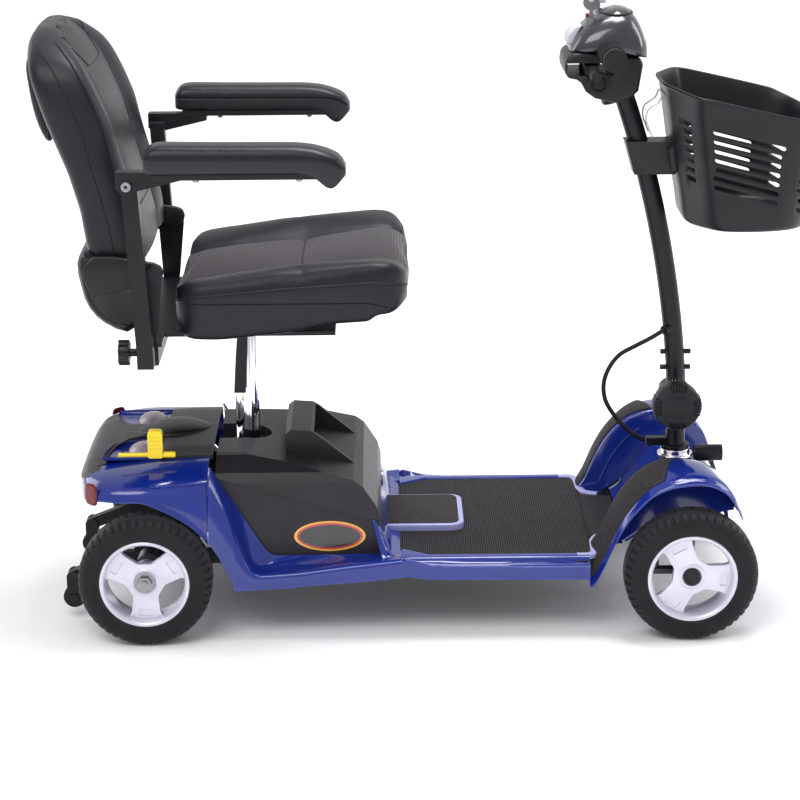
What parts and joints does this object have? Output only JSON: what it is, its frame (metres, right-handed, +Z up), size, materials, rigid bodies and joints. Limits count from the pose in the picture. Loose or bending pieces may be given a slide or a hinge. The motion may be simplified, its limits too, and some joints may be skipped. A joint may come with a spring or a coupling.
{
  "type": "mobility scooter",
  "caption": "Four-wheel travel mobility scooter with swivel padded seat, folding backrest, flip-up armrests, tilting tiller and front basket.",
  "frame": {"origin": "on the ground under the middle of the overall box", "axes": "+X forward, +Y to the rider's left, +Z up"},
  "size_m": [1.188, 0.602, 0.94],
  "materials": {
    "frame_black": "satin powder coat",
    "chrome": "polished",
    "blue_gloss": "gloss, moulded through",
    "grey_plastic": "fine grained",
    "black_plastic": "fine grained",
    "mat_rubber": "ribbed and pebbled",
    "tyre": "solid, satin",
    "rim_silver": "silver lacquer",
    "cast_metal": "as cast",
    "red_lens": "clear red",
    "yellow_plastic": "gloss",
    "console_grey": "gloss",
    "grip_rubber": "soft",
    "light_plastic": "gloss",
    "key_metal": "nickel",
    "seat_vinyl": "grained vinyl with ribbed cloth in the middle",
    "pad_vinyl": "grained vinyl"
  },
  "bodies": {
    "chassis": {"front_frame": "frame_black", "rear_frame": "frame_black", "headset": "chrome", "front_shroud": "blue_gloss", "fender_pads": "mat_rubber", "deck_shell": "blue_gloss", "floor_mat": "mat_rubber", "rear_shroud": "blue_gloss", "rear_deck_cover": "grey_plastic", "battery_box": "grey_plastic", "battery_lid": "grey_plastic", "battery_cells": "black_plastic", "charger_port": "chrome", "drive_motor": "cast_metal", "transaxle": "cast_metal", "rear_reflectors": "red_lens", "anti_tip_frame": "frame_black", "headlamp": "black_plastic"},
    "anti_tip": {"anti_tip_rollers": "black_plastic"},
    "freewheel": {"freewheel_lever": "yellow_plastic"},
    "wheel_rear_right": {"axle_right": "chrome", "rim_rear_right": "rim_silver", "tyre_rear_right": "tyre"},
    "wheel_rear_left": {"axle_left": "chrome", "rim_rear_left": "rim_silver", "tyre_rear_left": "tyre"},
    "wheel_front_right": {"rim_front_right": "rim_silver", "tyre_front_right": "tyre"},
    "wheel_front_left": {"rim_front_left": "rim_silver", "tyre_front_left": "tyre"},
    "steering": {"steering_stem": "frame_black"},
    "knuckle_right": {"knuckle_right": "cast_metal"},
    "knuckle_left": {"knuckle_left": "cast_metal"},
    "tie_rod_right": {"tie_rod_right": "cast_metal"},
    "tie_rod_left": {"tie_rod_left": "cast_metal"},
    "tiller": {"tiller_tube": "frame_black", "tiller_head": "black_plastic", "console_cover": "console_grey", "grips": "grip_rubber", "basket_bracket": "black_plastic", "control_cable": "grip_rubber"},
    "throttle": {"throttle_lever": "black_plastic"},
    "dial": {"speed_dial": "light_plastic"},
    "key": {"key": "key_metal"},
    "horn": {"horn_button": "red_lens"},
    "tilt_knob": {"tilt_knob": "black_plastic"},
    "basket": {"basket": "black_plastic"},
    "seat_column": {"seat_post": "chrome"},
    "seat": {"seat_base": "frame_black", "seat_cushion": "seat_vinyl", "arm_knobs": "black_plastic"},
    "seat_lever": {"seat_lever": "black_plastic"},
    "backrest": {"backrest_shell": "grey_plastic", "backrest_cushion": "seat_vinyl"},
    "arm_slide_right": {"arm_post_right": "frame_black"},
    "arm_slide_left": {"arm_post_left": "frame_black"},
    "arm_right": {"arm_bracket_right": "frame_black", "arm_pad_right": "pad_vinyl"},
    "arm_left": {"arm_bracket_left": "frame_black", "arm_pad_left": "pad_vinyl"}
  },
  "joints": [
    {"name": "spin_rear_right", "type": "hinge", "parent": "chassis", "child": "wheel_rear_right", "pos_m": [-0.434, -0.215, 0.1], "axis": [0, 1, 0], "continuous": true},
    {"name": "spin_rear_left", "type": "hinge", "parent": "chassis", "child": "wheel_rear_left", "pos_m": [-0.434, 0.215, 0.1], "axis": [0, 1, 0], "continuous": true},
    {"name": "steer", "type": "hinge", "parent": "chassis", "child": "steering", "pos_m": [0.382, 0, 0.2], "axis": [0, 0, 1], "range_deg": [-25, 25]},
    {"name": "knuckle_right_turn", "type": "hinge", "parent": "chassis", "child": "knuckle_right", "pos_m": [0.382, -0.17, 0.1], "axis": [0, 0, 1], "range_deg": [-25.5, 25.5]},
    {"name": "knuckle_left_turn", "type": "hinge", "parent": "chassis", "child": "knuckle_left", "pos_m": [0.382, 0.17, 0.1], "axis": [0, 0, 1], "range_deg": [-25.5, 25.5]},
    {"name": "tie_rod_right_turn", "type": "hinge", "parent": "steering", "child": "tie_rod_right", "pos_m": [0.332, 0, 0.098], "axis": [0, 0, 1], "range_deg": [-25.5, 25.5]},
    {"name": "tie_rod_left_turn", "type": "hinge", "parent": "steering", "child": "tie_rod_left", "pos_m": [0.332, 0, 0.11], "axis": [0, 0, 1], "range_deg": [-25.5, 25.5]},
    {"name": "spin_front_right", "type": "hinge", "parent": "knuckle_right", "child": "wheel_front_right", "pos_m": [0.382, -0.215, 0.1], "axis": [0, 1, 0], "continuous": true},
    {"name": "spin_front_left", "type": "hinge", "parent": "knuckle_left", "child": "wheel_front_left", "pos_m": [0.382, 0.215, 0.1], "axis": [0, 1, 0], "continuous": true},
    {"name": "tiller_tilt", "type": "hinge", "parent": "steering", "child": "tiller", "pos_m": [0.374, 0, 0.318], "axis": [0, 1, 0], "range_deg": [-20, 0], "deforming": ["control_cable"]},
    {"name": "tilt_knob_turn", "type": "hinge", "parent": "steering", "child": "tilt_knob", "pos_m": [0.374, -0.065, 0.318], "axis": [0, 1, 0], "range_deg": [0, 180]},
    {"name": "throttle_turn", "type": "hinge", "parent": "tiller", "child": "throttle", "pos_m": [0.236, 0, 0.832], "axis": [0, 0, 1], "range_deg": [-12, 12], "stiffness_Nm_per_rad": 2},
    {"name": "speed_dial_turn", "type": "hinge", "parent": "tiller", "child": "dial", "pos_m": [0.25, 0.03, 0.92], "axis": [0, 0, 1], "range_deg": [-135, 135]},
    {"name": "key_turn", "type": "hinge", "parent": "tiller", "child": "key", "pos_m": [0.236, -0.03, 0.9], "axis": [0, 0, 1], "range_deg": [0, 90]},
    {"name": "horn_press", "type": "slide", "parent": "tiller", "child": "horn", "axis": [0, 0, -1], "range_m": [0, 0.0025], "stiffness_N_per_m": 300},
    {"name": "basket_lift", "type": "slide", "parent": "tiller", "child": "basket", "axis": [0, 0, 1], "range_m": [0, 0.06]},
    {"name": "seat_height", "type": "slide", "parent": "chassis", "child": "seat_column", "axis": [0, 0, 1], "range_m": [0, 0.05]},
    {"name": "seat_swivel", "type": "hinge", "parent": "seat_column", "child": "seat", "pos_m": [-0.288, 0, 0.45], "axis": [0, 0, 1], "continuous": true},
    {"name": "seat_lever_lift", "type": "hinge", "parent": "seat", "child": "seat_lever", "pos_m": [-0.288, -0.036, 0.446], "axis": [1, 0, 0], "range_deg": [-20, 0], "stiffness_Nm_per_rad": 0.5},
    {"name": "backrest_fold", "type": "hinge", "parent": "seat", "child": "backrest", "pos_m": [-0.406, 0, 0.565], "axis": [0, 1, 0], "range_deg": [0, 75]},
    {"name": "arm_width_right", "type": "slide", "parent": "seat", "child": "arm_slide_right", "axis": [0, -1, 0], "range_m": [0, 0.04]},
    {"name": "arm_width_left", "type": "slide", "parent": "seat", "child": "arm_slide_left", "axis": [0, 1, 0], "range_m": [0, 0.04]},
    {"name": "arm_flip_right", "type": "hinge", "parent": "arm_slide_right", "child": "arm_right", "pos_m": [-0.435, -0.25, 0.704], "axis": [0, 1, 0], "range_deg": [-95, 0]},
    {"name": "arm_flip_left", "type": "hinge", "parent": "arm_slide_left", "child": "arm_left", "pos_m": [-0.435, 0.25, 0.704], "axis": [0, 1, 0], "range_deg": [-95, 0]},
    {"name": "freewheel_turn", "type": "hinge", "parent": "chassis", "child": "freewheel", "pos_m": [-0.419, -0.15, 0.273], "axis": [1, 0, 0], "range_deg": [0, 60]},
    {"name": "anti_tip_spin", "type": "hinge", "parent": "chassis", "child": "anti_tip", "pos_m": [-0.555, 0, 0.036], "axis": [0, 1, 0], "continuous": true}
  ],
  "couplings": [
    {"joint": "knuckle_right_turn", "follows": "steer", "ratio": 1},
    {"joint": "knuckle_left_turn", "follows": "steer", "ratio": 1},
    {"joint": "tie_rod_right_turn", "follows": "steer", "ratio": -1},
    {"joint": "tie_rod_left_turn", "follows": "steer", "ratio": -1}
  ]
}
